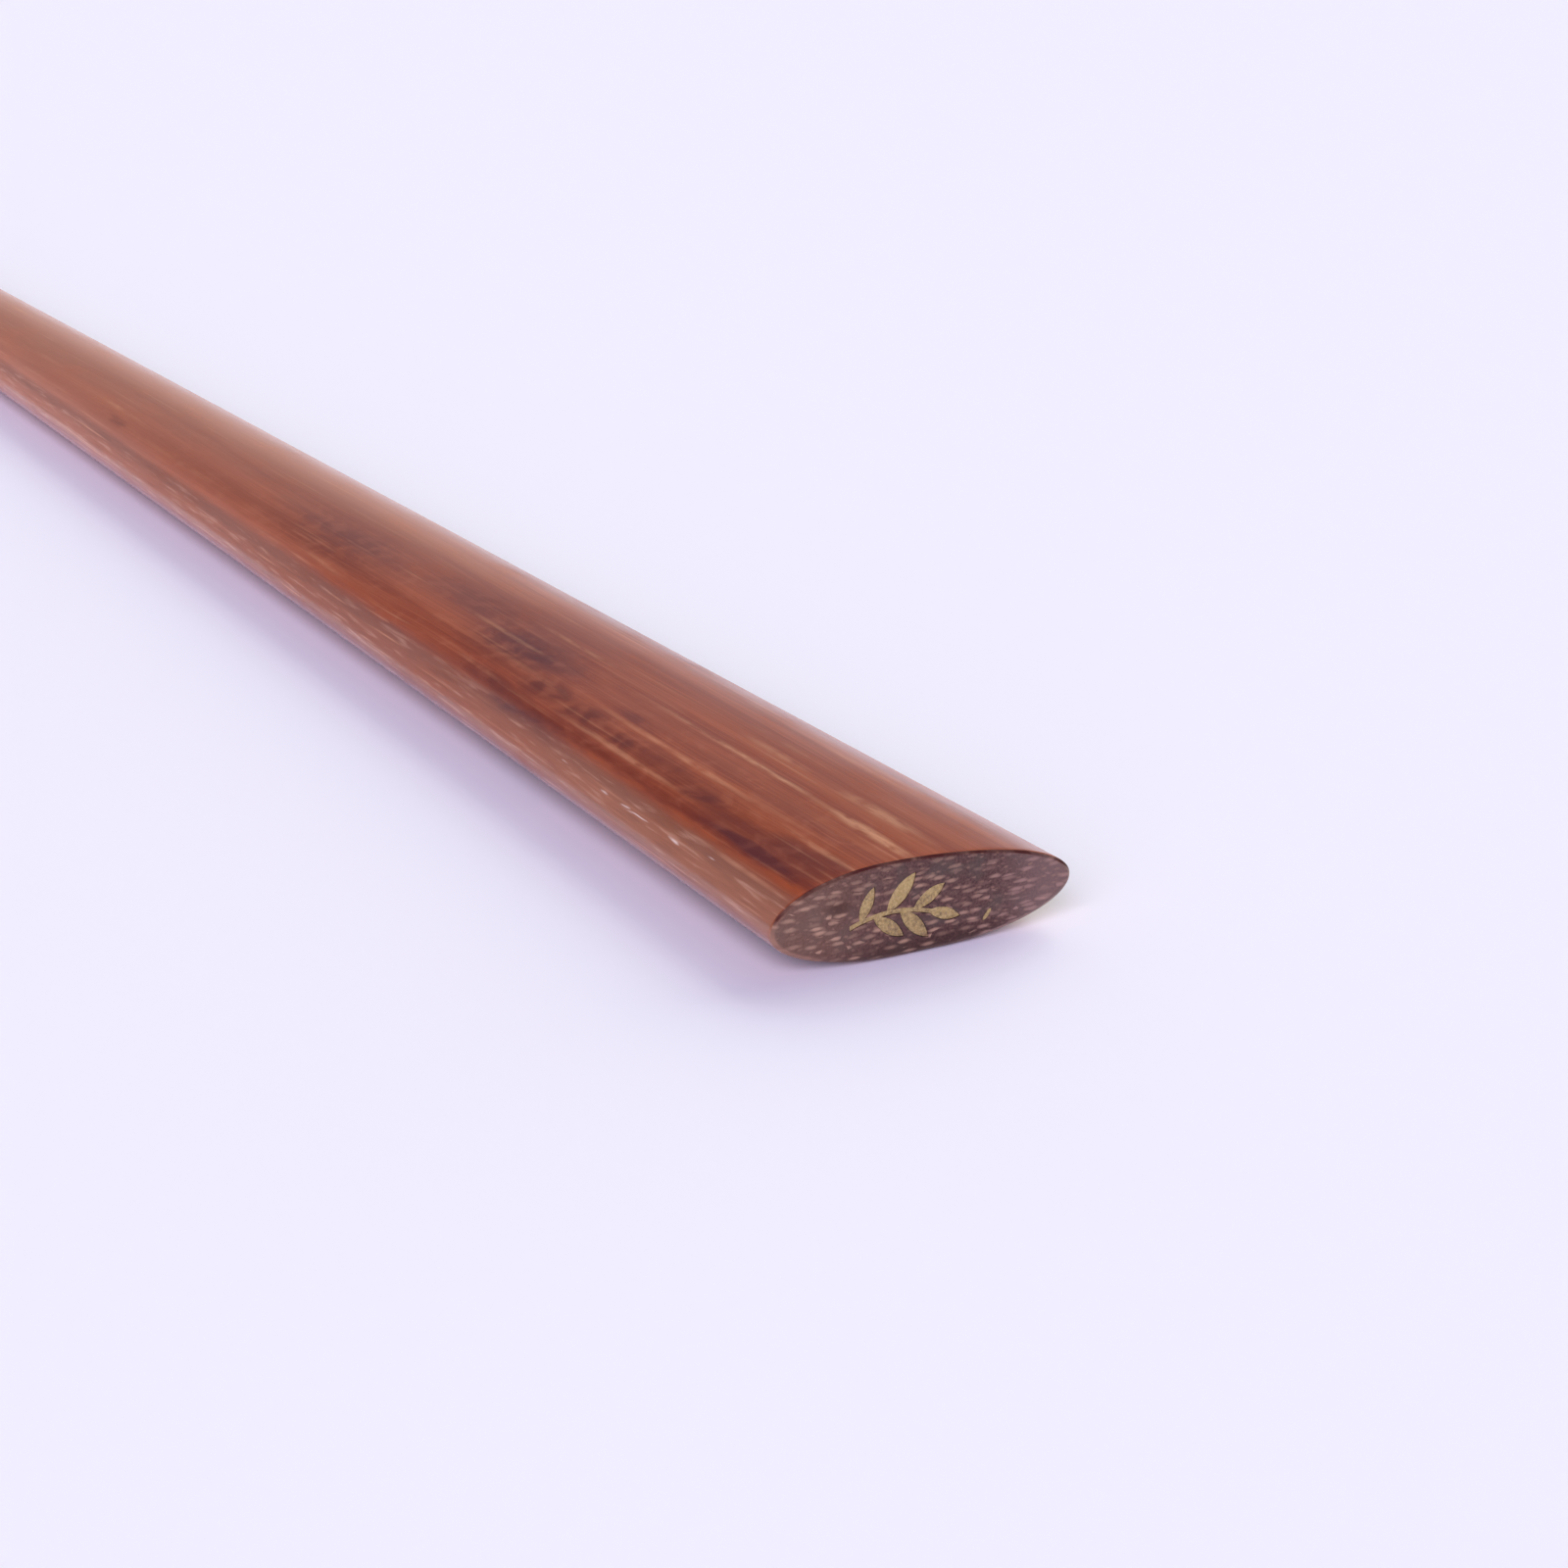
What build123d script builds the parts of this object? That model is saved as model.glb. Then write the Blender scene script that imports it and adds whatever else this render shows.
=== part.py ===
from build123d import *

import os
from math import cos, radians, sin

# Wooden hair stick, in millimetres.
# It lies as it does on a table: +X points to the broad, square-cut head end, -X to the rounded tip,
# and +Z points up. The origin is under the middle of the stick, on the surface that it lies on.
# Seen from the head end, the section is a flattened oval whose crown lies well off the middle, while
# its keel, the narrow flat that it lies on, is nearly in the middle.
# The sprig is thin gold foil, pressed into the head end's face in a recess of its own outline.

# The stick
stick_length = 180.0      # head end to tip, overall
head_width = 12.0         # across the head end
head_thickness = 3.6      # of the head end, from its keel to its crown
taper_width = 3.0         # across the stick where the tip begins to round off
taper_thickness = 2.0     # of the stick there
tip_length = 2.4          # length of the rounded tip
crown_shift = 1.5         # from the middle to the crown at the head end, towards -Y
keel_shift = 0.1          # from the middle to the keel at the head end, towards -Y
keel_flat = 1.6           # width of the narrow flat along the keel at the head end
rim_round = 0.25          # rounding of the rim of the head end

# The pressed sprig, which lies along Y
stalk_length = 3.3        # from the stalk's foot into the end leaf
stalk_width = 0.16        # of the stalk
stalk_bow = 0.3           # rise of the stalk's middle over its two ends
leaf_length = 1.7         # of the longest leaf
leaf_width = 0.56         # of the longest leaf
sprig_shift = 1.3         # from the middle of the head end to the middle of the stalk, towards -Y
sprig_drop = 0.33         # from the middle of the head end down to the stalk's two ends
foil_thickness = 0.06     # of the foil
foil_depth = 0.03         # from the head end's face down to the foil
foil_gap = 0.02           # clearance round the foil in its recess

# A round can take this share of the tightest curve of the outline that it follows
round_share = 0.8

# Turns of the rounded tip's sections, in degrees, from its base towards its point
tip_turns = (0, 22.5, 45, 67.5)

# The leaves of the sprig: place along the stalk and size, both as shares, and angle in degrees
leaves = (
    (0.12, 0.78, 50),
    (0.28, 0.88, -46),
    (0.44, 1.00, 46),
    (0.60, 0.95, -42),
    (0.76, 0.85, 42),
    (0.94, 0.78, 0),
)


def oval(x, width, thickness, height):
    """The section at x, with its middle at height: two quarter ellipses that meet at the crown and
    two that meet the keel's flat. What lies off the middle does so in proportion to the width."""
    across = Plane(origin=(x, 0, height), x_dir=(0, 1, 0), z_dir=(1, 0, 0))
    share = width / head_width
    crown = -crown_shift * share
    keel_right = (keel_flat / 2 - keel_shift) * share
    keel_left = keel_right - keel_flat * share
    outline = []
    for turn, middle in ((0, crown), (90, crown), (180, keel_left), (270, keel_right)):
        reach = width / 2 - middle if turn in (0, 270) else width / 2 + middle
        outline.append(EllipticalCenterArc((middle, 0), reach, thickness / 2, start_angle=turn, arc_size=90))
    outline.insert(3, Line((keel_left, -thickness / 2), (keel_right, -thickness / 2)))
    return across * make_face(outline)


def shaft():
    """The straight taper from the head end to where the tip begins, with the head's rim rounded."""
    head = oval(stick_length / 2, head_width, head_thickness, head_thickness / 2)
    foot = oval(tip_length - stick_length / 2, taper_width, taper_thickness, taper_thickness / 2)
    body = loft([foot, head], ruled=True)
    tightest = (head_thickness / 2) ** 2 / (head_width / 2 + crown_shift)
    rim = body.edges().group_by(Axis.X)[-1]
    return fillet(rim, min(rim_round, round_share * tightest))


def tip():
    """The rounded end: sections that shrink as a quarter circle does, down to a point."""
    sections = []
    for turn in tip_turns:
        x = tip_length * (1 - sin(radians(turn))) - stick_length / 2
        shrink = cos(radians(turn))
        sections.append(oval(x, taper_width * shrink, taper_thickness * shrink, taper_thickness / 2))
    return loft(sections + [Vertex(-stick_length / 2, 0, taper_thickness / 2)])


def stalk_point(share, lift=0.0):
    """A point at a share of the stalk's bowed line, lifted off it by lift."""
    return Vector(stalk_length * (share - 0.5), 4 * stalk_bow * share * (1 - share) + lift)


def leaf(share, size, angle):
    """One leaf: two arcs from its foot on the stalk to its point."""
    foot = stalk_point(share)
    stalk_direction = Vector(stalk_length, 4 * stalk_bow * (1 - 2 * share)).normalized()
    along = stalk_direction.rotate(Axis.Z, angle)
    point = foot + along * leaf_length * size
    belly = along.rotate(Axis.Z, 90) * leaf_width * size / 2
    middle = (foot + point) / 2
    return make_face([ThreePointArc(foot, middle + belly, point), ThreePointArc(point, middle - belly, foot)])


def sprig():
    """The outline of the whole sprig, flat, about the middle of its stalk."""
    half = stalk_width / 2
    upper = ThreePointArc(*(stalk_point(share, half) for share in (0, 0.5, 1)))
    lower = ThreePointArc(*(stalk_point(share, -half) for share in (1, 0.5, 0)))
    outline = make_face([upper, Line(upper @ 1, lower @ 0), lower, Line(lower @ 1, upper @ 0)])
    for share, size, angle in leaves:
        outline += leaf(share, size, angle)
    return outline


# The head end's face seen from outside, about the middle between the stalk's two ends
stalk_height = head_thickness / 2 - sprig_drop
head_end = Plane(
    origin=(stick_length / 2, -sprig_shift, stalk_height), x_dir=(0, 1, 0), z_dir=(1, 0, 0)
)
recess_depth = foil_depth + foil_thickness

recess = extrude(head_end * offset(sprig(), foil_gap), -recess_depth)
foil_sprig = extrude(head_end.offset(-recess_depth) * sprig(), foil_thickness)
stick = shaft() + tip() - recess

os.makedirs("parts", exist_ok=True)
export_step(stick, "parts/stick.step")
export_step(foil_sprig, "parts/foil_sprig.step")
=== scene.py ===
# %% [markdown]
# A wooden hair stick, dressed for a close look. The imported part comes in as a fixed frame, in metres:
# +X points to the broad, square-cut head end, -X to the tip, and the stick lies on z = 0. Everything
# here is fitted to that frame, and nothing in it is moved.

from math import cos, pi, radians, sin

import bpy
from mathutils import Matrix, Vector, geometry, noise


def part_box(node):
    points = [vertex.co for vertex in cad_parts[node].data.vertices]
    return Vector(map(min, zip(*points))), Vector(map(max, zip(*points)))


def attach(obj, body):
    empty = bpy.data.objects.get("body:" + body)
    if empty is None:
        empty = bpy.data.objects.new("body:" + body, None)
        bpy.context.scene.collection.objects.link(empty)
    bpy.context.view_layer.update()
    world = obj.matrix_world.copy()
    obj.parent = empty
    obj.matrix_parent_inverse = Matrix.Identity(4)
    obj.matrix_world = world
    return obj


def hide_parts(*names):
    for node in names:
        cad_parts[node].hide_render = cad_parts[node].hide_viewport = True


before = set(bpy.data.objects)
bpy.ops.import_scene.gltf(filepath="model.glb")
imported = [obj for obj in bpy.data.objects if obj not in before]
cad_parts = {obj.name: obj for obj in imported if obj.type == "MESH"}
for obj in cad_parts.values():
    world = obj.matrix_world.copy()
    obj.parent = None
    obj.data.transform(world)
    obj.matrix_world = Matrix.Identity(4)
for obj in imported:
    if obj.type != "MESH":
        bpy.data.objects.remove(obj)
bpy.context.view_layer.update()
mm = 0.001
stick_low, stick_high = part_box("stick")
print("stick, in mm:", [round(size / mm, 2) for size in stick_high - stick_low])

# %% [markdown]
# The camera comes first, because every finish is judged through it. The stick lies at a slant across
# the picture with its head end nearest. A long lens held close flattens the head's oval only a
# little, so the lens, the distance and the two angles below were found together, from the outline of
# the head's oval and the lines of the two sides. Numbers in pixels are for a picture 1600 wide.

# %% Camera
picture_size = 1600  # pixels
focal_length = 4000  # pixels
head_centre_at = (943.8, 923.0)  # pixels, across and down
camera_distance = 134.0 * mm
camera_elevation = radians(19.84)
stick_turn = radians(60.96)
sensor_width = 36.0
head_middle_height = 1.8 * mm

rightward = Vector((cos(stick_turn), sin(stick_turn), 0))
away = Vector((-sin(stick_turn), cos(stick_turn), 0))
forward = away * cos(camera_elevation) - Vector((0, 0, sin(camera_elevation)))
upward = rightward.cross(forward)

head_centre = Vector((stick_high.x, 0, head_middle_height))
off_right = (head_centre_at[0] - picture_size / 2) / focal_length
off_up = (picture_size / 2 - head_centre_at[1]) / focal_length
camera_place = head_centre - camera_distance * (forward + off_right * rightward + off_up * upward)


def into_scene(name, data):
    """An object made of some data, put into the scene."""
    made = bpy.data.objects.new(name, data)
    bpy.context.scene.collection.objects.link(made)
    return made


camera_data = bpy.data.cameras.new("camera")
camera_data.sensor_width = sensor_width
camera_data.lens = focal_length / picture_size * sensor_width
camera_data.clip_start = 1 * mm
camera_data.clip_end = 10
camera = into_scene("camera", camera_data)
facing = Matrix((rightward, upward, -forward)).transposed().to_4x4()
camera.matrix_world = Matrix.Translation(camera_place) @ facing
bpy.context.scene.camera = camera
print("camera at, in mm:", [round(c / mm, 1) for c in camera_place], "lens", camera_data.lens)

# %% [markdown]
# The stick is one piece of wood. Its section is a flattened oval whose crown lies off the middle, and
# it tapers in straight lines to a rounded tip. A modeller could sweep a curve with a taper, but the
# crown's shift and the flat under the keel are easier to state as a formula, so one function gives
# any point of the surface, and the mesh is made of rings of such points. A real stick is rounded over
# by hand with fine paper, so its sides are never quite true: a slow swell of two hundredths of a
# millimetre makes the varnish's reflections waver as they do on wood.

# %% A point of the stick's surface
head_width = 12.0 * mm
head_thickness = 2 * head_middle_height
taper_width = 3.0 * mm
taper_thickness = 2.0 * mm
tip_length = 2.4 * mm
crown_shift = 1.5 * mm
keel_shift = 0.1 * mm
keel_flat = 1.6 * mm
sanding_depth = 0.02 * mm
swell_length = 14 * mm
swell_loop = 1.3  # a wider loop through the noise has more swells round the oval
keel_share = 0.2  # of the sanding, left on the keel

head_x = stick_high.x
taper_x = stick_low.x + tip_length


def section_size(x):
    """Width and thickness of the straight taper at x."""
    share = (x - taper_x) / (head_x - taper_x)
    width = taper_width + share * (head_width - taper_width)
    return width, taper_thickness + share * (head_thickness - taper_thickness)


def hand_sanding(x, angle):
    """How far the surface lies below its true form: slow swells, and little on the keel."""
    swell = noise.noise(Vector((x / swell_length, swell_loop * cos(angle), swell_loop * sin(angle))))
    off_keel = min(1.0, 1 + keel_share + sin(angle))
    return sanding_depth * (0.5 + 0.5 * swell) * off_keel


def surface_point(x, angle, inset=0.0, shrink=1.0):
    """The surface at x and an angle round the oval, 90 degrees at the crown, inset or shrunk."""
    width, thickness = section_size(max(x, taper_x))
    scale = width / head_width
    across, up = cos(angle), sin(angle)
    if up >= 0:
        middle = -crown_shift * scale
    else:
        middle = (keel_flat / 2 * (1 if across >= 0 else -1) - keel_shift) * scale
    reach = width / 2 - middle if across >= 0 else width / 2 + middle
    out = Vector((across / reach, 2 * up / thickness)).normalized()
    depth = inset + hand_sanding(x, angle)
    y = (middle + reach * across) * shrink - out.x * depth
    z = thickness / 2 * up * shrink - out.y * depth
    return Vector((x, y, thickness / 2 + z))


print("crown of the head end, in mm:", [round(c / mm, 2) for c in surface_point(head_x, radians(90))])

# %% [markdown]
# Rings lie close together where the shape turns and further apart between. The rim of the head end
# has been rounded by hand and then handled for years, so its radius changes as it goes round: most at
# the lower corner of the thick end, least over the crown.

# %% Rings from the tip's base to the head end's face
around = 160
body_rings = 300
rim_rings = 7
even_share, crowded_share = 0.7, 0.3  # of the rings' spacing; the second crowds them at both ends
rim_round = 0.25 * mm
crisp_share, rubbed_share, wander_share = 0.55, 0.9, 0.2  # of rim_round
rim_room = 1.6 * rim_round  # for the rim where it is rubbed most
rim_noise = 5.0  # its height in the noise


def noise_round(angle, height):
    """Smooth noise, -1 to 1, that meets itself after a whole turn. Each height gives another one."""
    return noise.noise(Vector((2 * cos(angle), 2 * sin(angle), height)))


def rim_radius(angle):
    """Radius of the worn rim at an angle round the oval: crisp above, rubbed round below."""
    below = 0.5 - 0.5 * sin(angle)
    wander = wander_share * noise_round(angle, rim_noise)
    return rim_round * (crisp_share + wander + rubbed_share * below)


def rim_point(angle, bend):
    """A point of the worn rim: bend 0 lies on the side, a quarter turn on the flat face."""
    radius = rim_radius(angle)
    return surface_point(head_x - radius * (1 - sin(bend)), angle, radius * (1 - cos(bend)))


angles = [2 * pi * step / around for step in range(around)]
body_end = head_x - rim_room
rings = []
for k in range(body_rings + 1):
    share = k / body_rings
    crowded = 0.5 - 0.5 * cos(pi * share)
    x = taper_x + (body_end - taper_x) * (even_share * share + crowded_share * crowded)
    rings.append([surface_point(x, angle) for angle in angles])
for k in range(rim_rings + 1):
    rings.append([rim_point(angle, pi / 2 * k / rim_rings) for angle in angles])
print("rings:", len(rings), "points in each:", around)
print("rim's radius, in mm:", [round(rim_radius(angle) / mm, 2) for angle in angles[::around // 4]])

# %% [markdown]
# Every face of the mesh also gets a place on a flat sheet, its UV map, so that the finish can be baked
# into a picture later. The long side is peeled off in one piece, cut open along the keel where nobody
# looks, and laid in three rows. The tip's dome and the head end's face lie in a column beside them.
# They are laid out at their real size first, so that the whole sheet is drawn at one scale.

# %% Lay out the side on the sheet
row_length = 60 * mm
sheet_margin = 0.7 * mm
rim_ring_width = 0.08 * mm  # on the sheet
keel_step = around * 3 // 4

ring_places = []
for ring in rings:
    turned = ring[keel_step:] + ring[:keel_step + 1]
    along, place = 0.0, [0.0]
    for here, after in zip(turned, turned[1:]):
        along += (after - here).length
        place.append(along)
    ring_places.append(place)
middles = [sum((point.x for point in ring), 0.0) / around for ring in rings]
row_count = int((head_x - taper_x) // row_length) + 1
row_of_ring = [min(row_count - 1, int((head_x - middle) // row_length)) for middle in middles]
row_start, sheet_height = [], 0.0
for row in range(row_count):
    row_start.append(sheet_height)
    tallest = max(place[-1] for place, at in zip(ring_places, row_of_ring) if at == row)
    sheet_height += tallest + sheet_margin
print("rows on the sheet:", row_count, "height in mm:", round(sheet_height / mm, 1))


def side_place(k, step, row):
    """The sheet place of a point of ring k, counted from the keel."""
    over_rim = max(0, k - body_rings) * rim_ring_width
    along = head_x - min(middles[k], body_end) + over_rim - row * row_length
    return Vector((along + 2 * sheet_margin, row_start[row] + ring_places[k][step]))


# %% [markdown]
# The skin between two neighbouring rings is a band of four-cornered faces. Triangles would do as
# well, but bands of quads follow the stick, shade smoothly and are easy to select by hand. Each
# corner gets its place on the sheet in the same order, and a row of the sheet ends where its faces do.

# %% Faces of the side
points = [point for ring in rings for point in ring]
faces, face_places = [], []
for k in range(len(rings) - 1):
    row = row_of_ring[k + 1]
    for step in range(around):
        here, after = (step + keel_step) % around, (step + 1 + keel_step) % around
        corners = ((k, here, step), (k, after, step + 1), (k + 1, after, step + 1), (k + 1, here, step))
        faces.append([ring * around + point for ring, point, _ in corners])
        face_places.append([side_place(ring, place, row) for ring, _, place in corners])
print("side:", len(points), "points,", len(faces), "faces")

# %% [markdown]
# The tip is closed with a square grid of faces bent onto the dome, so that no fan of thin triangles
# meets at its point. Each square ring of the grid becomes one oval ring of the dome, and the outermost
# has as many points as the rings of the body, so it is stitched to them without a seam.

# %% The tip's dome as a bent grid
grid_reach = around // 8
dome_radius = 2.2 * mm  # on the sheet
column_gap, column_half = 1.9 * mm, 3 * mm
column_middle = row_length + column_gap + column_half
dome_up, face_up = 16 * mm, 6.4 * mm  # places in the column
dome_middle = Vector((column_middle, dome_up))


def disc_place(i, j):
    """A grid point as its share of the way out, 0 to 1, and its angle round the oval."""
    ring_number = max(abs(i), abs(j))
    if ring_number == 0:
        return 0.0, 0.0
    if abs(i) >= abs(j):
        angle = pi / 4 * j / i + (pi if i < 0 else 0)
    else:
        angle = pi / 2 - pi / 4 * i / j + (pi if j < 0 else 0)
    return ring_number / grid_reach, angle % (2 * pi)


dome_index, dome_places = {}, {}
grid = range(-grid_reach, grid_reach + 1)
for i in grid:
    for j in grid:
        share, angle = disc_place(i, j)
        dome_places[i, j] = dome_middle + dome_radius * share * Vector((cos(angle), sin(angle)))
        if share == 1.0:
            dome_index[i, j] = round(angle / (2 * pi) * around) % around
        else:
            bend = pi / 2 * (1 - share)
            dome_index[i, j] = len(points)
            points.append(surface_point(taper_x - tip_length * sin(bend), angle, shrink=cos(bend)))
for i in grid[:-1]:
    for j in grid[:-1]:
        corners = ((i, j), (i, j + 1), (i + 1, j + 1), (i + 1, j))
        faces.append([dome_index[corner] for corner in corners])
        face_places.append([dome_places[corner] for corner in corners])
print("with the tip:", len(points), "points,", len(faces), "faces")

# %% [markdown]
# The head end is a flat face with the ornament's recess pressed into it. The recess has to fit the
# foil that the frame brings, so its outline is read from the part: the edges that bound the flat face
# make two loops, the oval and the recess. A constrained triangulation then fills the face between the
# two loops and, separately, the floor of the recess.

# %% Read the recess's outline from the part
snap = 0.001 * mm
recess_floor_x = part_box("foil_sprig")[0].x


def flat_loops(mesh, x):
    """The closed loops that bound the faces of a mesh lying flat at x, each a list of (y, z) points."""
    places, borders = {}, set()
    for face in mesh.polygons:
        corners = [mesh.vertices[v].co for v in face.vertices]
        if all(abs(corner.x - x) < snap for corner in corners):
            keys = [(round(corner.y / snap), round(corner.z / snap)) for corner in corners]
            places.update(zip(keys, (Vector(corner.yz) for corner in corners)))
            for edge in zip(keys, keys[1:] + keys[:1]):
                if edge[::-1] in borders:
                    borders.remove(edge[::-1])
                else:
                    borders.add(edge)
    onward = dict(borders)
    loops = []
    while onward:
        key, loop = next(iter(onward)), []
        while key in onward:
            loop.append(places[key])
            key = onward.pop(key)
        loops.append(loop)
    return loops


loops = flat_loops(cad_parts["stick"].data, head_x)
recess_outline = min(loops, key=lambda loop: max(point.x for point in loop))
recess_outline.reverse()
print("recess outline:", len(recess_outline), "points")

# %% [markdown]
# A saw has left the end flat, and the die has sunk the ornament a hair's breadth into it. Cutting the
# recess with a boolean would leave long thin triangles over the whole face. Filler points, set out
# between the two outlines as in a honeycomb, keep the triangles even instead. The walls of the recess
# are one more band of quads, from the face down to the floor.

# %% Fill the head end's face, the recess's floor and its walls
filler_spacing = 0.3 * mm
filler_row = 0.87 * filler_spacing  # a honeycomb's rows lie closer than its points
filler_rows = int(head_thickness / filler_row) + 1
filler_reach = round(head_width / 2 / filler_spacing)  # points to each side of the middle
rim_gap, recess_gap = 0.4 * filler_spacing, 0.2 * filler_spacing
weld = snap / 100
face_middle = Vector((column_middle, face_up))


def clear_of(place, outline, gap):
    """Whether a place lies at least a gap away from every edge of an outline."""
    for start, end in zip(outline, outline[1:] + outline[:1]):
        _, share = geometry.intersect_point_line(place, start, end)
        if (start.lerp(end, min(1.0, max(0.0, share))) - place).length < gap:
            return False
    return True


rim_outline = [point.yz for point in rings[-1]]
filler = []
for j in range(1, filler_rows + 1):
    for i in range(-filler_reach, filler_reach + 1):
        place = Vector(((i + j % 2 / 2) * filler_spacing, j * filler_row))
        if clear_of(place, rim_outline, rim_gap) and clear_of(place, recess_outline, recess_gap):
            filler.append(place)
print("filler points:", len(filler))
oval = list(range(around))
pressed = list(range(around, around + len(recess_outline)))
flat_points, _, flat_faces, sources, _, inside = geometry.delaunay_2d_cdt(
    rim_outline + recess_outline + filler, [], [oval, pressed], 1, weld
)
rim_start = (len(rings) - 1) * around
face_index, floor_index = {}, {}


def flat_point(v, deep):
    """The index of a point of the triangulation, on the face or on the recess's floor, made once."""
    made = floor_index if deep else face_index
    if v not in made:
        on_rim = [source for source in sources[v] if source < around]
        if on_rim and not deep:
            made[v] = rim_start + on_rim[0]
        else:
            made[v] = len(points)
            points.append(Vector((recess_floor_x if deep else head_x, *flat_points[v])))
    return made[v]


def flat_place(index):
    """The sheet place of a point of the head end, which stands on its side in the column."""
    return face_middle + Vector((points[index].z - head_middle_height, points[index].y))


for triangle, owners in zip(flat_faces, inside):
    if 0 in owners:
        faces.append([flat_point(v, 1 in owners) for v in triangle])
        face_places.append([flat_place(index) for index in faces[-1]])
outline_point = {source: v for v in face_index for source in sources[v] if source in pressed}
for here, after in zip(pressed, pressed[1:] + pressed[:1]):
    a, b = outline_point[here], outline_point[after]
    faces.append([face_index[a], face_index[b], floor_index[b], floor_index[a]])
    face_places.append([flat_place(index) for index in faces[-1]])
print("whole stick:", len(points), "points,", len(faces), "faces")

# %% [markdown]
# Points and faces become one closed mesh, because the real stick is one piece of wood. Smooth shading
# makes the oval look rubbed round rather than cut in facets, while edges that turn by more than fifty
# degrees, as round the recess, stay crisp. The mesh takes the place of the part's plain one.

# %% Make the stick's mesh and its sheet
crisp_turn = radians(50)
sheet_size = max(sheet_height, column_middle + column_half)
stick_mesh = bpy.data.meshes.new("wooden_stick")
stick_mesh.from_pydata(points, [], faces)
stick_mesh.shade_smooth()
stick_mesh.set_sharp_from_angle(angle=crisp_turn)
sheet = stick_mesh.uv_layers.new(name="OFBake")
corner_places = [place for places in face_places for place in places]
for corner, place in zip(sheet.data, corner_places):
    corner.uv = place / sheet_size
stick = into_scene("wooden_stick", stick_mesh)
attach(stick, "root")
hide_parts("stick")
print("sheet size in mm:", round(sheet_size / mm, 1))

# %% [markdown]
# The gold leaf flakes as it is pressed, and a crumb of it has stuck to the wood beside the ornament.
# It is a scrap of foil with a torn outline, thinner than a hair, made as a closed plate of its own.

# %% A crumb of gold foil beside the ornament
crumb_at = Vector((head_x, 2.5 * mm, 0.97 * mm))
crumb_length = 0.50 * mm
crumb_width = 0.145 * mm
crumb_turn = radians(52)
crumb_thickness = 0.012 * mm
crumb_corners = 18
crumb_tear = 0.3  # how far its outline is torn in or out, as a share
crumb_noise = 8.0  # its height in the noise

crumb_rim = []
for k in range(crumb_corners):
    angle = 2 * pi * k / crumb_corners
    tear = 1 + crumb_tear * noise_round(angle, crumb_noise)
    flat = Vector((crumb_length / 2 * cos(angle), crumb_width / 2 * sin(angle))) * tear
    flat.rotate(Matrix.Rotation(crumb_turn, 2))
    crumb_rim.append(flat)
crumb_points = []
for lift in (0.0, crumb_thickness):
    crumb_points += [crumb_at + Vector((lift, *flat)) for flat in crumb_rim]
crumb_faces = [list(range(crumb_corners))[::-1], list(range(crumb_corners, 2 * crumb_corners))]
for k in range(crumb_corners):
    after = (k + 1) % crumb_corners
    crumb_faces.append([k, after, after + crumb_corners, k + crumb_corners])
crumb_mesh = bpy.data.meshes.new("foil_crumb")
crumb_mesh.from_pydata(crumb_points, [], crumb_faces)
crumb = into_scene("foil_crumb", crumb_mesh)
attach(crumb, "root")
print("crumb of foil, in mm:", [round(size / mm, 3) for size in crumb.dimensions])

# %% [markdown]
# A finish is a chain of small nodes, each of which does one step. It could be wired by hand in the
# shader editor, but wood as rich as this takes hundreds of nodes, so a few helpers keep the chains
# short to read. The first ones place a node and fill its sockets, and do sums on numbers and places.

# %% Helpers for nodes and sums
def add(tree, kind, sockets, **settings):
    """Add a node, set it up, and give each named socket a value or a link."""
    node = tree.nodes.new("ShaderNode" + kind)
    for name, value in settings.items():
        setattr(node, name, value)
    for name, value in sockets.items():
        if isinstance(value, bpy.types.NodeSocket):
            tree.links.new(value, node.inputs[name])
        else:
            node.inputs[name].default_value = value
    return node


def number(tree, operation, *values):
    """The result of a Math node."""
    return add(tree, "Math", dict(enumerate(values)), operation=operation).outputs["Value"]


def times(tree, product, *masks):
    """The product of any number of masks."""
    for other in masks:
        product = number(tree, "MULTIPLY", product, other)
    return product


def vector(tree, operation, *values):
    """The result of a Vector Math node."""
    sockets = dict(enumerate(values))
    if operation == "SCALE":
        # The number to scale by has a socket of its own
        sockets["Scale"] = sockets.pop(1)
    node = add(tree, "VectorMath", sockets, operation=operation)
    return node.outputs["Value" if operation in ("LENGTH", "DOT_PRODUCT") else "Vector"]


def parts(tree, place):
    """The x, y and z of a place."""
    return add(tree, "SeparateXYZ", {"Vector": place}).outputs


# %% [markdown]
# Every pattern is turned into a mask, from 0 to 1, and a mask says how thickly one colour lies over
# another, as in painting with glazes. Colours are given as they read on a screen, because they are
# easy to compare with a photograph that way. The shader itself works in linear values.

# %% Helpers for masks and colours
def mask(tree, value, low, high):
    """Fade from 0 at low to 1 at high; with low above high the fade runs downwards."""
    sockets = {"Value": value, "From Min": low, "From Max": high}
    return add(tree, "MapRange", sockets, interpolation_type="SMOOTHSTEP").outputs["Result"]


def between(tree, share, low, high):
    """A number that goes from low to high as a mask goes from 0 to 1."""
    return add(tree, "MapRange", {"Value": share, "To Min": low, "To Max": high}).outputs["Result"]


def mix(tree, share, first, second):
    """Blend two colours, which are sockets 6 and 7 of a Mix node."""
    return add(tree, "Mix", {0: share, 6: first, 7: second}, data_type="RGBA").outputs[2]


def lay(tree, below, top, *masks):
    """A colour laid over another as thickly as the product of some masks says."""
    return mix(tree, times(tree, *masks), below, top)


def paint(red, green, blue):
    """A colour as a screen shows it, 0 to 255, turned into the linear values of a shader."""
    def linear(level):
        level /= 255
        return level / 12.92 if level < 0.04045 else ((level + 0.055) / 1.055) ** 2.4
    return (linear(red), linear(green), linear(blue), 1.0)


print("the middle grey of a screen is to a shader:", round(paint(128, 128, 128)[0], 3))

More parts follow.
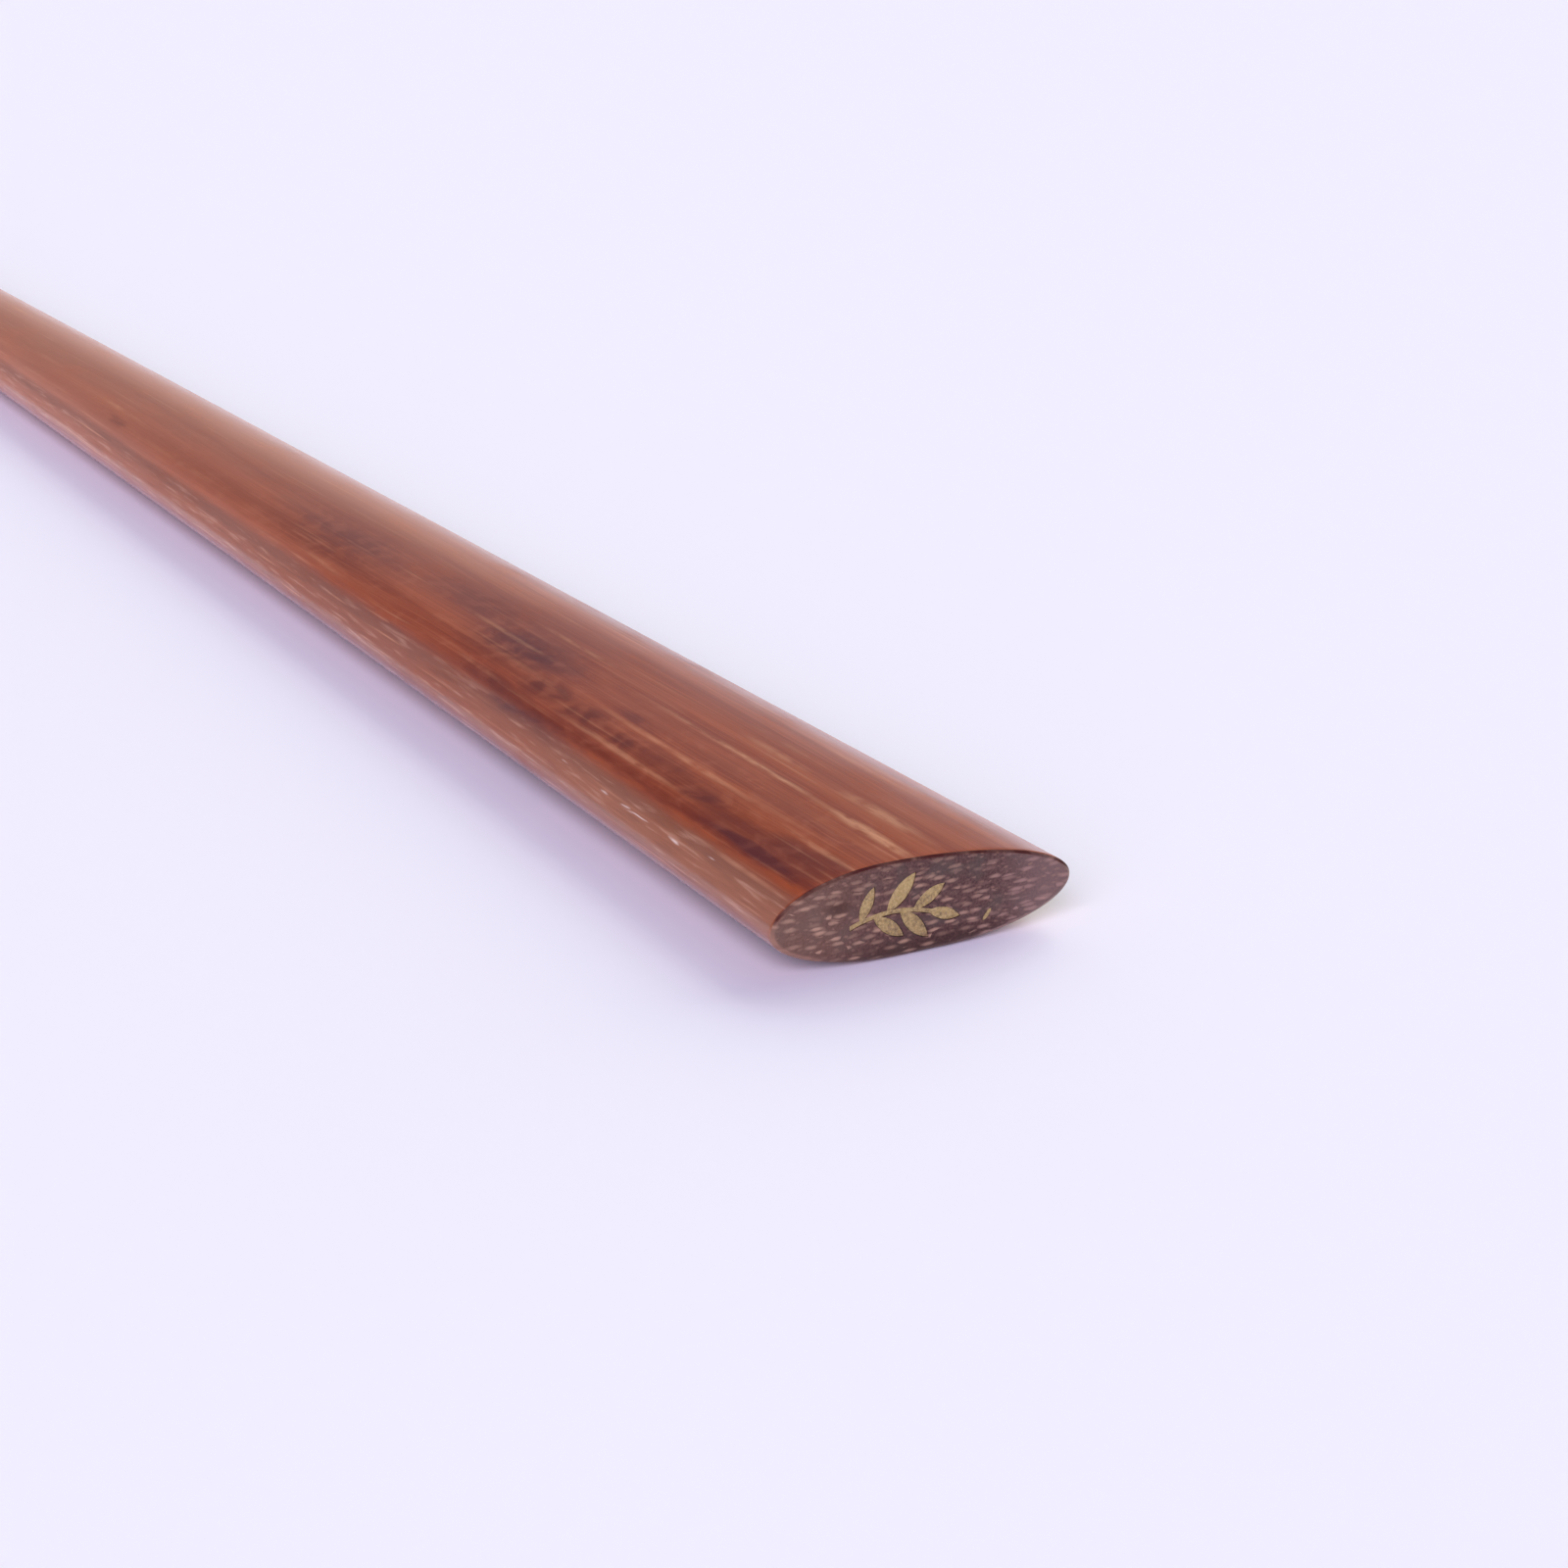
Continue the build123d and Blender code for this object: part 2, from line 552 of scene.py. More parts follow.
# %% [markdown]
# An effect that both finishes use is packed into a node group. It is built once, like a small
# machine with named sockets, and each finish places it with its own values.

# %% Helpers for node groups
def new_group(name, inputs, outputs):
    """An empty node group with named sockets, and its two end nodes."""
    tree = bpy.data.node_groups.new(name, "ShaderNodeTree")
    for socket_name, default in inputs.items():
        kind = "NodeSocketVector" if isinstance(default, tuple) else "NodeSocketFloat"
        socket = tree.interface.new_socket(socket_name, in_out="INPUT", socket_type=kind)
        socket.default_value = default
    for socket_name, kind in outputs.items():
        tree.interface.new_socket(socket_name, in_out="OUTPUT", socket_type="NodeSocket" + kind)
    return tree, tree.nodes.new("NodeGroupInput"), tree.nodes.new("NodeGroupOutput")


def place_group(tree, group, **sockets):
    """Place a node group with its own values."""
    return add(tree, "Group", sockets, node_tree=group)


# %% [markdown]
# Dark tropical wood of this kind is built of two tissues. Dense, dark fibre makes the ground, and
# through it run thin ribbons of pale storage cells. A picture wrapped round the stick could never
# agree with itself at the rim, so the wood is made as a solid: a pattern in all three directions, of
# which the surface shows whatever it cuts through. Places in it are in millimetres. It rests on two
# things, soft noise and a grain that sways a little, as it does in a tree.

# %% Soft noise and the grain's sway
# The size of the bends in x, y and z, and how far they reach, in millimetres
long_bends = ((26, 8, 8), (0, 0.8, 0.5))
short_bends = ((5, 0.8, 0.8), (0, 0.10, 0.06))


def shrunk(tree, place, sizes):
    """A place divided by a size in each direction."""
    return vector(tree, "MULTIPLY", place, tuple(1 / size for size in sizes))


def cloud(tree, place, sizes, detail=2.0, roughness=0.5, output="Fac"):
    """Soft noise, 0 to 1, whose lumps have a size in each direction."""
    sockets = {"Vector": shrunk(tree, place, sizes), "Scale": 1.0}
    sockets.update({"Detail": detail, "Roughness": roughness})
    return add(tree, "TexNoise", sockets).outputs[output]


def shaken(tree, place, sizes, reach, detail=3.0):
    """A place moved by noise, so that what is drawn there bends or gets ragged edges."""
    lumps = cloud(tree, place, sizes, detail, output="Color")
    shake = vector(tree, "SUBTRACT", lumps, (0.5, 0.5, 0.5))
    return vector(tree, "ADD", place, vector(tree, "MULTIPLY", shake, reach))


def swayed(tree, place):
    """Bend a place a little across the grain: long slow bends, and short slight ones."""
    for sizes, reach in (long_bends, short_bends):
        place = shaken(tree, place, sizes, reach, 1.0)
    return place


print("bends of the grain, in mm:", long_bends[0][0], "and", short_bends[0][0])

# %% [markdown]
# The pale ribbons are about half a millimetre wide and a sixth thick. On the sawn end they show as
# rows of short pale dashes. Where the rounded side cuts them at a shallow angle they run out into long
# pale streaks. Voronoi cells, long in x, hold one ribbon each, and each cell draws a chance of its
# own, so that some ribbons are bright and some hardly show. A second, finer set makes the threads.

# %% Pale ribbons in the wood
ribbon_spacing, ribbon_half, ribbon_scatter = (18.0, 0.80, 0.34), (9.0, 0.26, 0.075), 0.8
thread_spacing, thread_half, thread_scatter = (9.0, 0.36, 0.2), (4.5, 0.10, 0.05), 0.9


def pale_ribbons(tree, grain, spacing, half, scatter):
    """Distance from the ribbon's middle, in half sizes; the ribbon's end fade; and its chance."""
    cell_place = shrunk(tree, grain, spacing)
    cells = add(tree, "TexVoronoi", {"Vector": cell_place, "Scale": 1.0, "Randomness": scatter})
    offset = vector(tree, "SUBTRACT", cell_place, cells.outputs["Position"])
    offset = vector(tree, "MULTIPLY", offset, tuple(space / size for space, size in zip(spacing, half)))
    lengthwise = number(tree, "ABSOLUTE", parts(tree, offset)["X"])
    across = vector(tree, "LENGTH", vector(tree, "MULTIPLY", offset, (0, 1, 1)))
    chance = add(tree, "SeparateColor", {"Color": cells.outputs["Color"]}).outputs["Red"]
    return across, mask(tree, lengthwise, 1.0, 0.35), chance


print("half a ribbon, in mm:", ribbon_half, "half a thread:", thread_half)

# %% [markdown]
# The same ribbon is a short dash on the sawn end and a long streak on the side, so both are made from
# one pattern, and the way the surface faces decides later which is shown. A streak is beaded, because
# the ribbon dips in and out of the surface.

# %% Masks of the wood's tissue
torn_sizes, torn_reach = (9.0, 0.3, 0.2), (0, 0.14, 0.07)


def tissue(tree, grain):
    """Dashes and specks for the end, streaks and threads for the side."""
    torn = shaken(tree, grain, torn_sizes, torn_reach)
    across, end_fade, chance = pale_ribbons(tree, torn, ribbon_spacing, ribbon_half, ribbon_scatter)
    thin, thin_fade, thin_chance = pale_ribbons(tree, torn, thread_spacing, thread_half, thread_scatter)
    dash = times(tree, mask(tree, across, 1.4, 0.3), mask(tree, chance, -0.2, 0.9))
    speck = times(tree, mask(tree, thin, 1.4, 0.2), mask(tree, thin_chance, 0.3, 1.0))
    beads = mask(tree, cloud(tree, grain, (1.6, 0.5, 0.4)), 0.2, 0.7)
    streak = times(tree, mask(tree, across, 1.0, 0.0), mask(tree, chance, 0.0, 1.0), end_fade, beads)
    thread = times(tree, mask(tree, thin, 1.0, 0.0), mask(tree, thin_chance, 0.2, 1.0), thin_fade)
    return dash, speck, streak, thread


# %% [markdown]
# The side is not all streaks. Dark resin has pooled near the head end and stains the wood behind it in
# soft purple-brown patches. One layer low on the near side is a deep red that turns orange in places.
# It is partly the wood's own colour and partly painted reflection, deeper where the varnish would
# mirror a dark gap in the room. Below it lie a dull brown line and a few short painted glints, nearly
# white, where pores would catch the light. Noise alone would put such things anywhere, so the larger
# ones are placed one by one, as a painter would, and noise only breaks up their edges. Their y is given
# for the head end's width, and the pattern narrows with the stick.

# %% Where the side's patches, streaks and painted glints lie
# Each row: x and y of the middle, half the length, half the width, strength
resin_pool = (
    (84.8, -4.02, 5.4, 0.82, 0.62),
    (87.4, -3.85, 3.6, 1.05, 0.72),
    (88.8, -3.45, 2.2, 0.95, 0.60),
    (86.0, -4.34, 4.4, 0.36, 0.92),
)
dark_patches = (
    (83.0, -1.70, 11.0, 1.00, 0.28),
    (76.0, -3.45, 12.0, 0.90, 0.55),
    (80.4, -3.60, 2.6, 0.75, 0.80),
    (77.0, -3.30, 2.8, 0.80, 0.65),
    (73.6, -3.50, 2.0, 0.80, 0.85),
    (70.3, -3.50, 3.6, 1.10, 0.82),
    (66.6, -3.30, 3.4, 1.20, 0.82),
    (72.1, -2.05, 2.0, 0.50, 0.50),
    (67.5, -4.95, 5.5, 0.45, 0.90),
    (62.0, -1.90, 5.5, 2.30, 0.95),
    (63.5, -4.40, 3.5, 0.60, 0.60),
    (56.0, -0.60, 8.0, 1.80, 0.52),
    (43.8, -1.90, 8.5, 2.90, 0.60),
)
main_streaks = (
    (87.0, -0.50, 4.0, 0.34, 1.00),
    (88.6, -0.60, 1.3, 0.20, 1.00),
    (78.0, -0.40, 9.0, 0.20, 0.75),
    (77.3, -0.40, 0.8, 0.15, 1.00),
    (80.8, -0.40, 0.7, 0.15, 1.00),
    (85.6, 0.95, 3.8, 0.42, 0.75),
    (77.8, 1.00, 2.8, 0.30, 0.50),
    (76.5, -2.50, 7.5, 0.18, 0.60),
    (87.5, -2.75, 3.4, 0.16, 0.55),
    (74.5, -4.03, 6.0, 0.17, 0.60),
    (62.5, 0.45, 4.0, 0.20, 0.50),
    (60.0, -1.60, 5.0, 0.18, 0.45),
)
orange_spots = (
    (88.6, -4.70, 2.8, 0.34, 1.00),
    (83.5, -4.90, 4.5, 0.28, 0.90),
    (51.0, -4.60, 9.0, 0.60, 0.60),
    (73.0, -4.90, 8.0, 0.24, 0.70),
)
# Painted glints: short specks, nearly white, where pores low on the near side would catch the light
painted_glints = (
    (78.9, -5.63, 0.8, 0.035, 0.75),
    (77.9, -5.58, 0.3, 0.030, 0.60),
    (76.2, -5.60, 0.5, 0.030, 0.60),
    (81.8, -5.63, 0.4, 0.045, 0.85),
    (84.2, -5.45, 0.3, 0.030, 0.45),
    (72.6, -5.55, 0.4, 0.030, 0.40),
)
print("resin spots:", len(resin_pool) + len(dark_patches), "streaks:", len(main_streaks))
print("orange spots:", len(orange_spots), "pale flecks:", len(painted_glints))

# %% [markdown]
# All of these are soft ovals, so one node group draws them. It is given the oval's middle, how much to
# scale each direction so that the oval becomes a ball, and how much of it is even before it fades.
# Where two spots meet, the stronger one wins, as with stains.

# %% A soft spot as a node group
spot_edge = 1.2
soft_core = 0.1
pool_core = 0.45


def soft_spot_group():
    """One soft oval round a middle, even in its core, given how much to scale each direction."""
    places = {"Place": (0, 0, 0), "Middle": (0, 0, 0), "Scale": (1, 1, 1)}
    inputs = {**places, "Core": soft_core, "Strength": 1.0}
    group, given, result = new_group("soft_spot", inputs, {"Spot": "Float"})
    offset = vector(group, "SUBTRACT", given.outputs["Place"], given.outputs["Middle"])
    offset = vector(group, "MULTIPLY", offset, given.outputs["Scale"])
    spot = mask(group, vector(group, "LENGTH", offset), spot_edge, given.outputs["Core"])
    group.links.new(times(group, spot, given.outputs["Strength"]), result.inputs["Spot"])
    return group


soft_spot = soft_spot_group()


def soft_spot_at(tree, place, middle, scale, core, strength):
    """One soft spot, as a mask."""
    sockets = {"Place": place, "Middle": middle, "Scale": scale, "Core": core, "Strength": strength}
    return place_group(tree, soft_spot, **sockets).outputs["Spot"]


def painted(tree, place, table, core=soft_core):
    """The strongest of a table's soft spots at each place."""
    strongest = 0.0
    for x, y, half_length, half_width, strength in table:
        scale = (1 / half_length, 1 / half_width, 0)
        spot = soft_spot_at(tree, place, (x, y, 0), scale, core, strength)
        strongest = number(tree, "MAXIMUM", strongest, spot)
    return strongest


print("soft spot:", len(soft_spot.nodes), "nodes")

# %% [markdown]
# The layers and spots run along the sides, and the sides draw together toward the tip. A place whose
# y is scaled up to the head end's width follows the taper, so everything painted in it does too.

# %% A place that follows the taper
def widened(tree, place):
    """A place with its y scaled up to the head end's width."""
    lengths = {"Value": parts(tree, place)["X"], "From Min": taper_x / mm, "From Max": head_x / mm}
    widths = {"To Min": taper_width / mm, "To Max": head_width / mm}
    width = add(tree, "MapRange", {**lengths, **widths}, clamp=False).outputs["Result"]
    scale = number(tree, "DIVIDE", head_width / mm, width)
    sides = add(tree, "CombineXYZ", {"X": 1.0, "Y": scale, "Z": 1.0}).outputs["Vector"]
    return vector(tree, "MULTIPLY", place, sides)


print("the head end is", round(head_width / taper_width, 1), "times as wide as the tip's base")

# %% [markdown]
# The side's colour is built like a glaze, one thin layer over another. The ground is two reds, which
# turn warmer toward the head end, with fine fibres in it. Low on the near side the wood is duller and
# greyer, partly its own colour and partly a painted sheen from the paper it faces. Toward the tip it is
# paler, and on the far side it is paler still, a painted sheen of the bright room in the varnish.

# %% Ground of the side
deep_red, pale_red = paint(142, 66, 44), paint(170, 89, 60)
warm_deep_red, warm_pale_red = paint(140, 61, 32), paint(167, 83, 44)
dark_fibre, light_fibre = paint(108, 46, 34), paint(196, 118, 86)
low_wood_and_sheen, low_sheen_at_head = paint(138, 80, 58), paint(142, 91, 66)
tip_wood, far_side_sheen = paint(188, 120, 92), paint(204, 142, 116)


def side_ground(tree, wide, grain, fibre, low):
    """The side's ground: two reds, fibres, greyer wood below and paler far away, with painted sheen."""
    x, y, _ = parts(tree, wide)
    pale_or_deep = mask(tree, cloud(tree, grain, (22, 0.8, 0.7)), 0.25, 0.75)
    colour = mix(tree, pale_or_deep, deep_red, pale_red)
    warm = mix(tree, pale_or_deep, warm_deep_red, warm_pale_red)
    colour = lay(tree, colour, warm, mask(tree, x, 70, 86))
    colour = lay(tree, colour, dark_fibre, mask(tree, fibre, 0.6, 0.25), 0.35)
    colour = lay(tree, colour, light_fibre, mask(tree, fibre, 0.5, 0.8), 0.35)
    # Partly painted sheen: the low band turns greyer and duller, as where the varnish mirrors the
    # paper.
    low_colour = mix(tree, mask(tree, x, 62, 82), low_wood_and_sheen, low_sheen_at_head)
    colour = lay(tree, colour, low_colour, low, 0.8)
    colour = lay(tree, colour, tip_wood, mask(tree, x, 64, -10), 0.6)
    # Painted sheen: the far side turns paler, as where the varnish mirrors the bright room at a grazing
    # angle.
    far_side = times(tree, mask(tree, x, 66, 36), mask(tree, y, -0.5, 2.5))
    return lay(tree, colour, far_side_sheen, far_side, 0.4)


# %% [markdown]
# Two thin layers run low along the near side, and both fade out where it turns under. The upper one is
# a mottled deep red that turns orange in places. It is partly the wood's own colour and partly painted
# reflection, deeper where the varnish would mirror a dark gap in the room. The lower one is a dull
# brown line, which parts the red wood from the duller wood below.

# %% Red layer and dull line of the near side
red_layer_y, red_layer_half = -4.6, 0.5
dull_line_y, dull_line_half = -5.2, 0.5
line_core = 0.05
red_layer_and_reflection, orange_and_reflection, dull_brown = paint(112, 42, 26), paint(166, 77, 34), paint(98, 38, 18)


def soft_line(tree, y, middle, half):
    """A line along the stick, full at its middle and gone at half its width."""
    off_middle = number(tree, "ABSOLUTE", number(tree, "SUBTRACT", y, middle))
    return mask(tree, off_middle, half, line_core)


def with_layers(tree, colour, wide, drawn, red_layer):
    """The ground with the red layer and its orange, partly painted reflection, and the dull line."""
    x, _, z = parts(tree, wide)
    y = parts(tree, drawn)["Y"]
    upper = mask(tree, z, 1.3, 1.9)
    mottle = mask(tree, cloud(tree, wide, (1.8, 0.35, 0.35), 3.0), 0.3, 0.65)
    layer = times(tree, soft_line(tree, y, red_layer_y, red_layer_half), upper)
    layer = times(tree, layer, between(tree, mottle, 1.0, 0.6))
    orange = times(tree, painted(tree, drawn, orange_spots), mottle)
    # Partly painted reflection: the red and orange deepen where the varnish would mirror a dark gap.
    colour = lay(tree, colour, red_layer_and_reflection, layer, mask(tree, x, 54, 66), red_layer, 0.9)
    colour = lay(tree, colour, orange_and_reflection, orange, red_layer, 0.85)
    line = times(tree, soft_line(tree, y, dull_line_y, dull_line_half), upper)
    return lay(tree, colour, dull_brown, line, 0.42)


print("red layer and dull line, in mm off the middle:", -red_layer_y, "and", -dull_line_y)

# %% [markdown]
# The resin's patches are broken up by curl: soft lumps, under a millimetre across, as where wavy
# fibres rise to the surface and sink again. The pool itself stays even. A few stray marks, left to
# noise alone, keep the patches from looking placed.

# %% Resin of the side
curl_sizes = (0.9, 0.85, 0.85)
stray_sizes = (5, 1.0, 1.0)


def resin_mask(tree, place, blotted, drawn, curl):
    """How dark the resin has made the wood."""
    stray = mask(tree, cloud(tree, place, stray_sizes, 3.0), 0.62, 0.9)
    lumps = between(tree, mask(tree, curl, 0.65, 0.35), 0.7, 1.0)
    dark = times(tree, painted(tree, blotted, dark_patches), lumps)
    dark = number(tree, "MAXIMUM", dark, painted(tree, drawn, resin_pool, pool_core))
    return number(tree, "MAXIMUM", dark, times(tree, stray, 0.6))


# %% [markdown]
# Now the layers are put together: ground, red layer, resin with a faint painted glint on its curl, the
# fine pale and dark lines of the dull wood, and last the streaks and the painted glints. Over the
# darkest places the pale streaks grow faint, because the resin has soaked into them too.

# %% Colour of the side
resin_brown, curl_glint = paint(82, 36, 42), paint(190, 118, 92)
fine_light, fine_dark = paint(204, 158, 134), paint(106, 60, 46)
thread_pale, streak_pale, glint_white = paint(204, 142, 108), paint(216, 156, 118), paint(224, 204, 192)
drawn_sizes, drawn_reach = (3.0, 0.4, 0.4), (2.5, 0.22, 0)
blotted_sizes, blotted_reach = (3.0, 0.9, 1.0), (2.4, 0.7, 0)


def side_colour(tree, given, place, grain, fibre, streak, thread):
    """The colour of the long side, from its ground up to the streaks and painted glints."""
    wide = widened(tree, place)
    y = parts(tree, wide)["Y"]
    drawn = shaken(tree, wide, drawn_sizes, drawn_reach)
    blotted = shaken(tree, wide, blotted_sizes, blotted_reach)
    low = mask(tree, y, -4.8, -5.4)
    colour = side_ground(tree, wide, grain, fibre, low)
    colour = with_layers(tree, colour, wide, drawn, given["Red Layer And Reflection"])

    curl = cloud(tree, blotted, curl_sizes, 1.5)
    curl_band = times(tree, mask(tree, y, -5.0, -4.3), mask(tree, y, 1.0, -1.5))
    dark = resin_mask(tree, place, blotted, drawn, curl)
    colour = lay(tree, colour, resin_brown, dark, given["Dark Patches"], 0.9)
    # Painted glint: a faint pale sheen on the curl's lumps over the near side of the crown.
    colour = lay(tree, colour, curl_glint, mask(tree, curl, 0.5, 0.75), curl_band, 0.15)

    lines = cloud(tree, grain, (2.6, 0.4, 0.12))
    colour = lay(tree, colour, fine_light, low, mask(tree, lines, 0.52, 0.75), 0.4)
    colour = lay(tree, colour, fine_dark, low, mask(tree, lines, 0.46, 0.3), 0.3)
    broken = mask(tree, cloud(tree, place, (1.3, 0.3, 0.3), 3.0), 0.25, 0.6)
    main = times(tree, painted(tree, drawn, main_streaks), broken)
    clear = between(tree, dark, 1.0, 0.3)
    streak = number(tree, "MAXIMUM", times(tree, streak, clear, 0.6), main)
    colour = lay(tree, colour, thread_pale, thread, clear, between(tree, low, 0.4, 0.65))
    colour = lay(tree, colour, streak_pale, streak, given["Streaks"], 0.7)
    # Painted glints, nearly white, laid last over everything
    return lay(tree, colour, glint_white, painted(tree, drawn, painted_glints))


# %% [markdown]
# The sawn end is the darkest part, because here one looks down into the open ends of the fibres. It is
# paler at both corners, where hands have worn it, and darker at the foot, a painted shade where it
# stands on the paper. The pale dashes thin out toward the crown, and a brown smudge lies left of the
# ornament, as seen from outside the head end.

# %% Colour of the sawn end
end_dark, end_light, end_grey = paint(60, 38, 38), paint(90, 62, 58), paint(74, 66, 62)
left_corner, right_corner, foot_shade_brown = paint(128, 98, 82), paint(124, 102, 100), paint(50, 32, 26)
speck_pale, left_dash, right_dash = paint(150, 116, 100), paint(178, 144, 122), paint(152, 120, 112)
smudge_brown = paint(62, 34, 24)
smudge_middle, smudge_scale, smudge_strength = (90, -3.4, 2.3), (0.5, 1.6, 3.2), 0.7


def end_colour(tree, place, fibre, dash, speck):
    """The colour of the sawn end: dark ground, pale specks and dashes, painted shade at the foot, one
    smudge.
    """
    _, y, z = parts(tree, place)
    tint = cloud(tree, place, (1.0, 1.2, 0.8))
    colour = mix(tree, mask(tree, fibre, 0.3, 0.7), end_dark, end_light)
    colour = lay(tree, colour, end_grey, mask(tree, tint, 0.45, 0.7), 0.5)
    colour = lay(tree, colour, left_corner, mask(tree, y, 0, -5.5), 0.4)
    colour = lay(tree, colour, right_corner, mask(tree, y, 2.4, 5.2), 0.5)
    colour = lay(tree, colour, speck_pale, speck, 0.4)
    # Painted shade: the end's foot is darkened where it meets the paper.
    foot = times(tree, mask(tree, z, 1.1, 0.2), mask(tree, number(tree, "ABSOLUTE", y), 4.5, 1.5))
    colour = lay(tree, colour, foot_shade_brown, foot, 0.6)
    dash_colour = mix(tree, mask(tree, y, 0, 4), left_dash, right_dash)
    colour = lay(tree, colour, dash_colour, dash, between(tree, mask(tree, z, 2.2, 3.4), 0.66, 0.25))
    smudge = soft_spot_at(tree, place, smudge_middle, smudge_scale, soft_core, smudge_strength)
    return lay(tree, colour, smudge_brown, smudge)


# %% [markdown]
# The rounded rim between end and side takes a colour of its own: a burnt dark red line above, and below
# a greyish colour that is a painted reflection of the paper, darkest under the ornament.

# %% Colour of the rim
rim_above, rim_under_ornament = paint(64, 26, 26), paint(88, 64, 52)
rim_left_reflection, rim_right_reflection = paint(140, 106, 90), paint(154, 128, 118)


def rim_colour(tree, place, up):
    """Rounded rim: dark red above; below, greyish painted reflection, darkest under the ornament."""
    y = parts(tree, place)["Y"]
    # Painted reflection: below, the rim is greyish, as where it faces down to the bright paper.
    below = mix(tree, mask(tree, y, -3.0, -4.5), rim_under_ornament, rim_left_reflection)
    below = mix(tree, mask(tree, y, 0.5, 3.5), below, rim_right_reflection)
    return mix(tree, mask(tree, up, 0.15, 0.5), below, rim_above)


# %% [markdown]
# Which of these looks a place has depends on the way its surface faces. The sawn end faces along the
# stick, the rim lies between it and the side, and the far edge turns away across the stick. The tip
# faces along the stick as well, but it is rounded and varnished, so only a little of the end's look
# goes to it. In the ornament's recess the end's look is shown on the floor and the walls alike.

# %% Where the end, the rim and the far edge lie
recess_step = 0.03


def face_masks(tree, facing, x):
    """Masks of the sawn end, the rim and the far edge, from the way the surface faces and its x."""
    steep = number(tree, "ABSOLUTE", facing["X"])
    at_head = mask(tree, x, 0, 60)
    recess = mask(tree, x, recess_floor_x / mm - recess_step, recess_floor_x / mm)
    end = times(tree, mask(tree, steep, 0.30, 0.60), between(tree, at_head, 0.25, 1.0))
    rim = times(tree, mask(tree, steep, 0.1, 0.35), mask(tree, steep, 0.98, 0.8), at_head)
    return number(tree, "MAXIMUM", end, recess), rim, mask(tree, facing["Y"], 0.30, 0.60)


print("depth of the recess, in mm:", round((head_x - recess_floor_x) / mm, 2))

# %% [markdown]
# One node group puts it together and gives three things: the colour, how thick the varnish stands,
# and the surface's height. It works on the place inside the wood, so the same group serves the foil,
# where worn gold lets the wood through, and the pattern runs over the rim without a join. The sawn
# end drank up its varnish, so there it is nearly bare, and on the rim and along the far edge it has
# been rubbed thin.

# %% The wood as one node group
end_varnish, rubbed_varnish = 0.25, 0.4
rubbing_sizes = (0.9, 0.9, 0.9)


def wood_group():
    """The wood's colour, how varnished it is, and its surface height."""
    inputs = {"Streaks": 1.0, "Dark Patches": 1.0, "Red Layer And Reflection": 1.0}
    outputs = {"Color": "Color", "Varnish": "Float", "Height": "Float"}
    group, given, result = new_group("solid_wood", inputs, outputs)
    coordinates = add(group, "TexCoord", {}).outputs
    place = vector(group, "SCALE", coordinates["Object"], 1 / mm)
    facing = parts(group, coordinates["Normal"])
    grain = swayed(group, place)
    fibre = cloud(group, grain, (7, 0.09, 0.09), 3.0, 0.6)
    dash, speck, streak, thread = tissue(group, grain)
    side = side_colour(group, given.outputs, place, grain, fibre, streak, thread)
    end = end_colour(group, place, fibre, dash, speck)
    at_end, at_rim, at_far_edge = face_masks(group, facing, parts(group, place)["X"])

    worn = mask(group, cloud(group, place, rubbing_sizes, 3.0), 0.38, 0.64)
    rim = rim_colour(group, place, facing["Z"])
    colour = lay(group, mix(group, at_end, side, end), rim, at_rim, between(group, worn, 0.95, 0.25))
    rubbed_edges = [between(group, edge, 1.0, rubbed_varnish) for edge in (at_far_edge, at_rim)]
    varnish = times(group, between(group, at_end, 1.0, end_varnish), times(group, *rubbed_edges))
    for socket, value in (("Color", colour), ("Varnish", varnish), ("Height", fibre)):
        group.links.new(value, result.inputs[socket])
    return group


solid_wood = wood_group()
print("solid wood:", len(solid_wood.nodes), "nodes")

# %% [markdown]
# The last effect is shared by both finishes: what handling does. It rubs a finish thin in blotches
# with gritty edges, and leaves fine scratches along the stick. The group only gives masks, and each
# material decides what they mean: thinner varnish on the wood, bare wood showing through the foil.

# %% Handling wear as a node group
blotch_sizes = (4.0, 1.5, 1.5)
grit_sizes = (0.14, 0.12, 0.12)
scratch_sizes = (4.0, 0.05, 0.05)


def wear_group():
    """Where handling has rubbed a finish thin, and the height of its fine scratches."""
    inputs = {"Rubbing": 0.5, "Scratches": 0.5}
    outputs = {"Rubbed": "Float", "Height": "Float"}
    group, given, result = new_group("handling_wear", inputs, outputs)
    place = vector(group, "SCALE", add(group, "TexCoord", {}).outputs["Object"], 1 / mm)
    blotches = cloud(group, place, blotch_sizes, 3.0)
    grit = cloud(group, place, grit_sizes, 2.0, 0.6)
    gritty = add(group, "Mix", {0: 0.5, 2: blotches, 3: grit}).outputs[0]
    scratches = mask(group, cloud(group, place, scratch_sizes, 1.0), 0.70, 0.62)
    rubbed = times(group, mask(group, gritty, 0.46, 0.66), given.outputs["Rubbing"])
    height = times(group, scratches, given.outputs["Scratches"])
    group.links.new(rubbed, result.inputs["Rubbed"])
    group.links.new(height, result.inputs["Height"])
    return group


handling_wear = wear_group()
print("handling wear:", len(handling_wear.nodes), "nodes")

# %% [markdown]
# The stick has a clear varnish, rubbed down until it is silky rather than glassy. Its shine could be
# had by making the wood itself less rough, but a coat over the wood is how the real thing is built:
# the wood stays dull, and the coat alone mirrors the room. The coat is thin where hands have rubbed
# it, and the fibres' height shows in it as a faint grain.

# %% The stick's varnished wood
def new_finish(name):
    """A material with nodes, its node tree and its main shader."""
    finish = bpy.data.materials.new(name)
    finish.use_nodes = True
    return finish, finish.node_tree, finish.node_tree.nodes["Principled BSDF"]


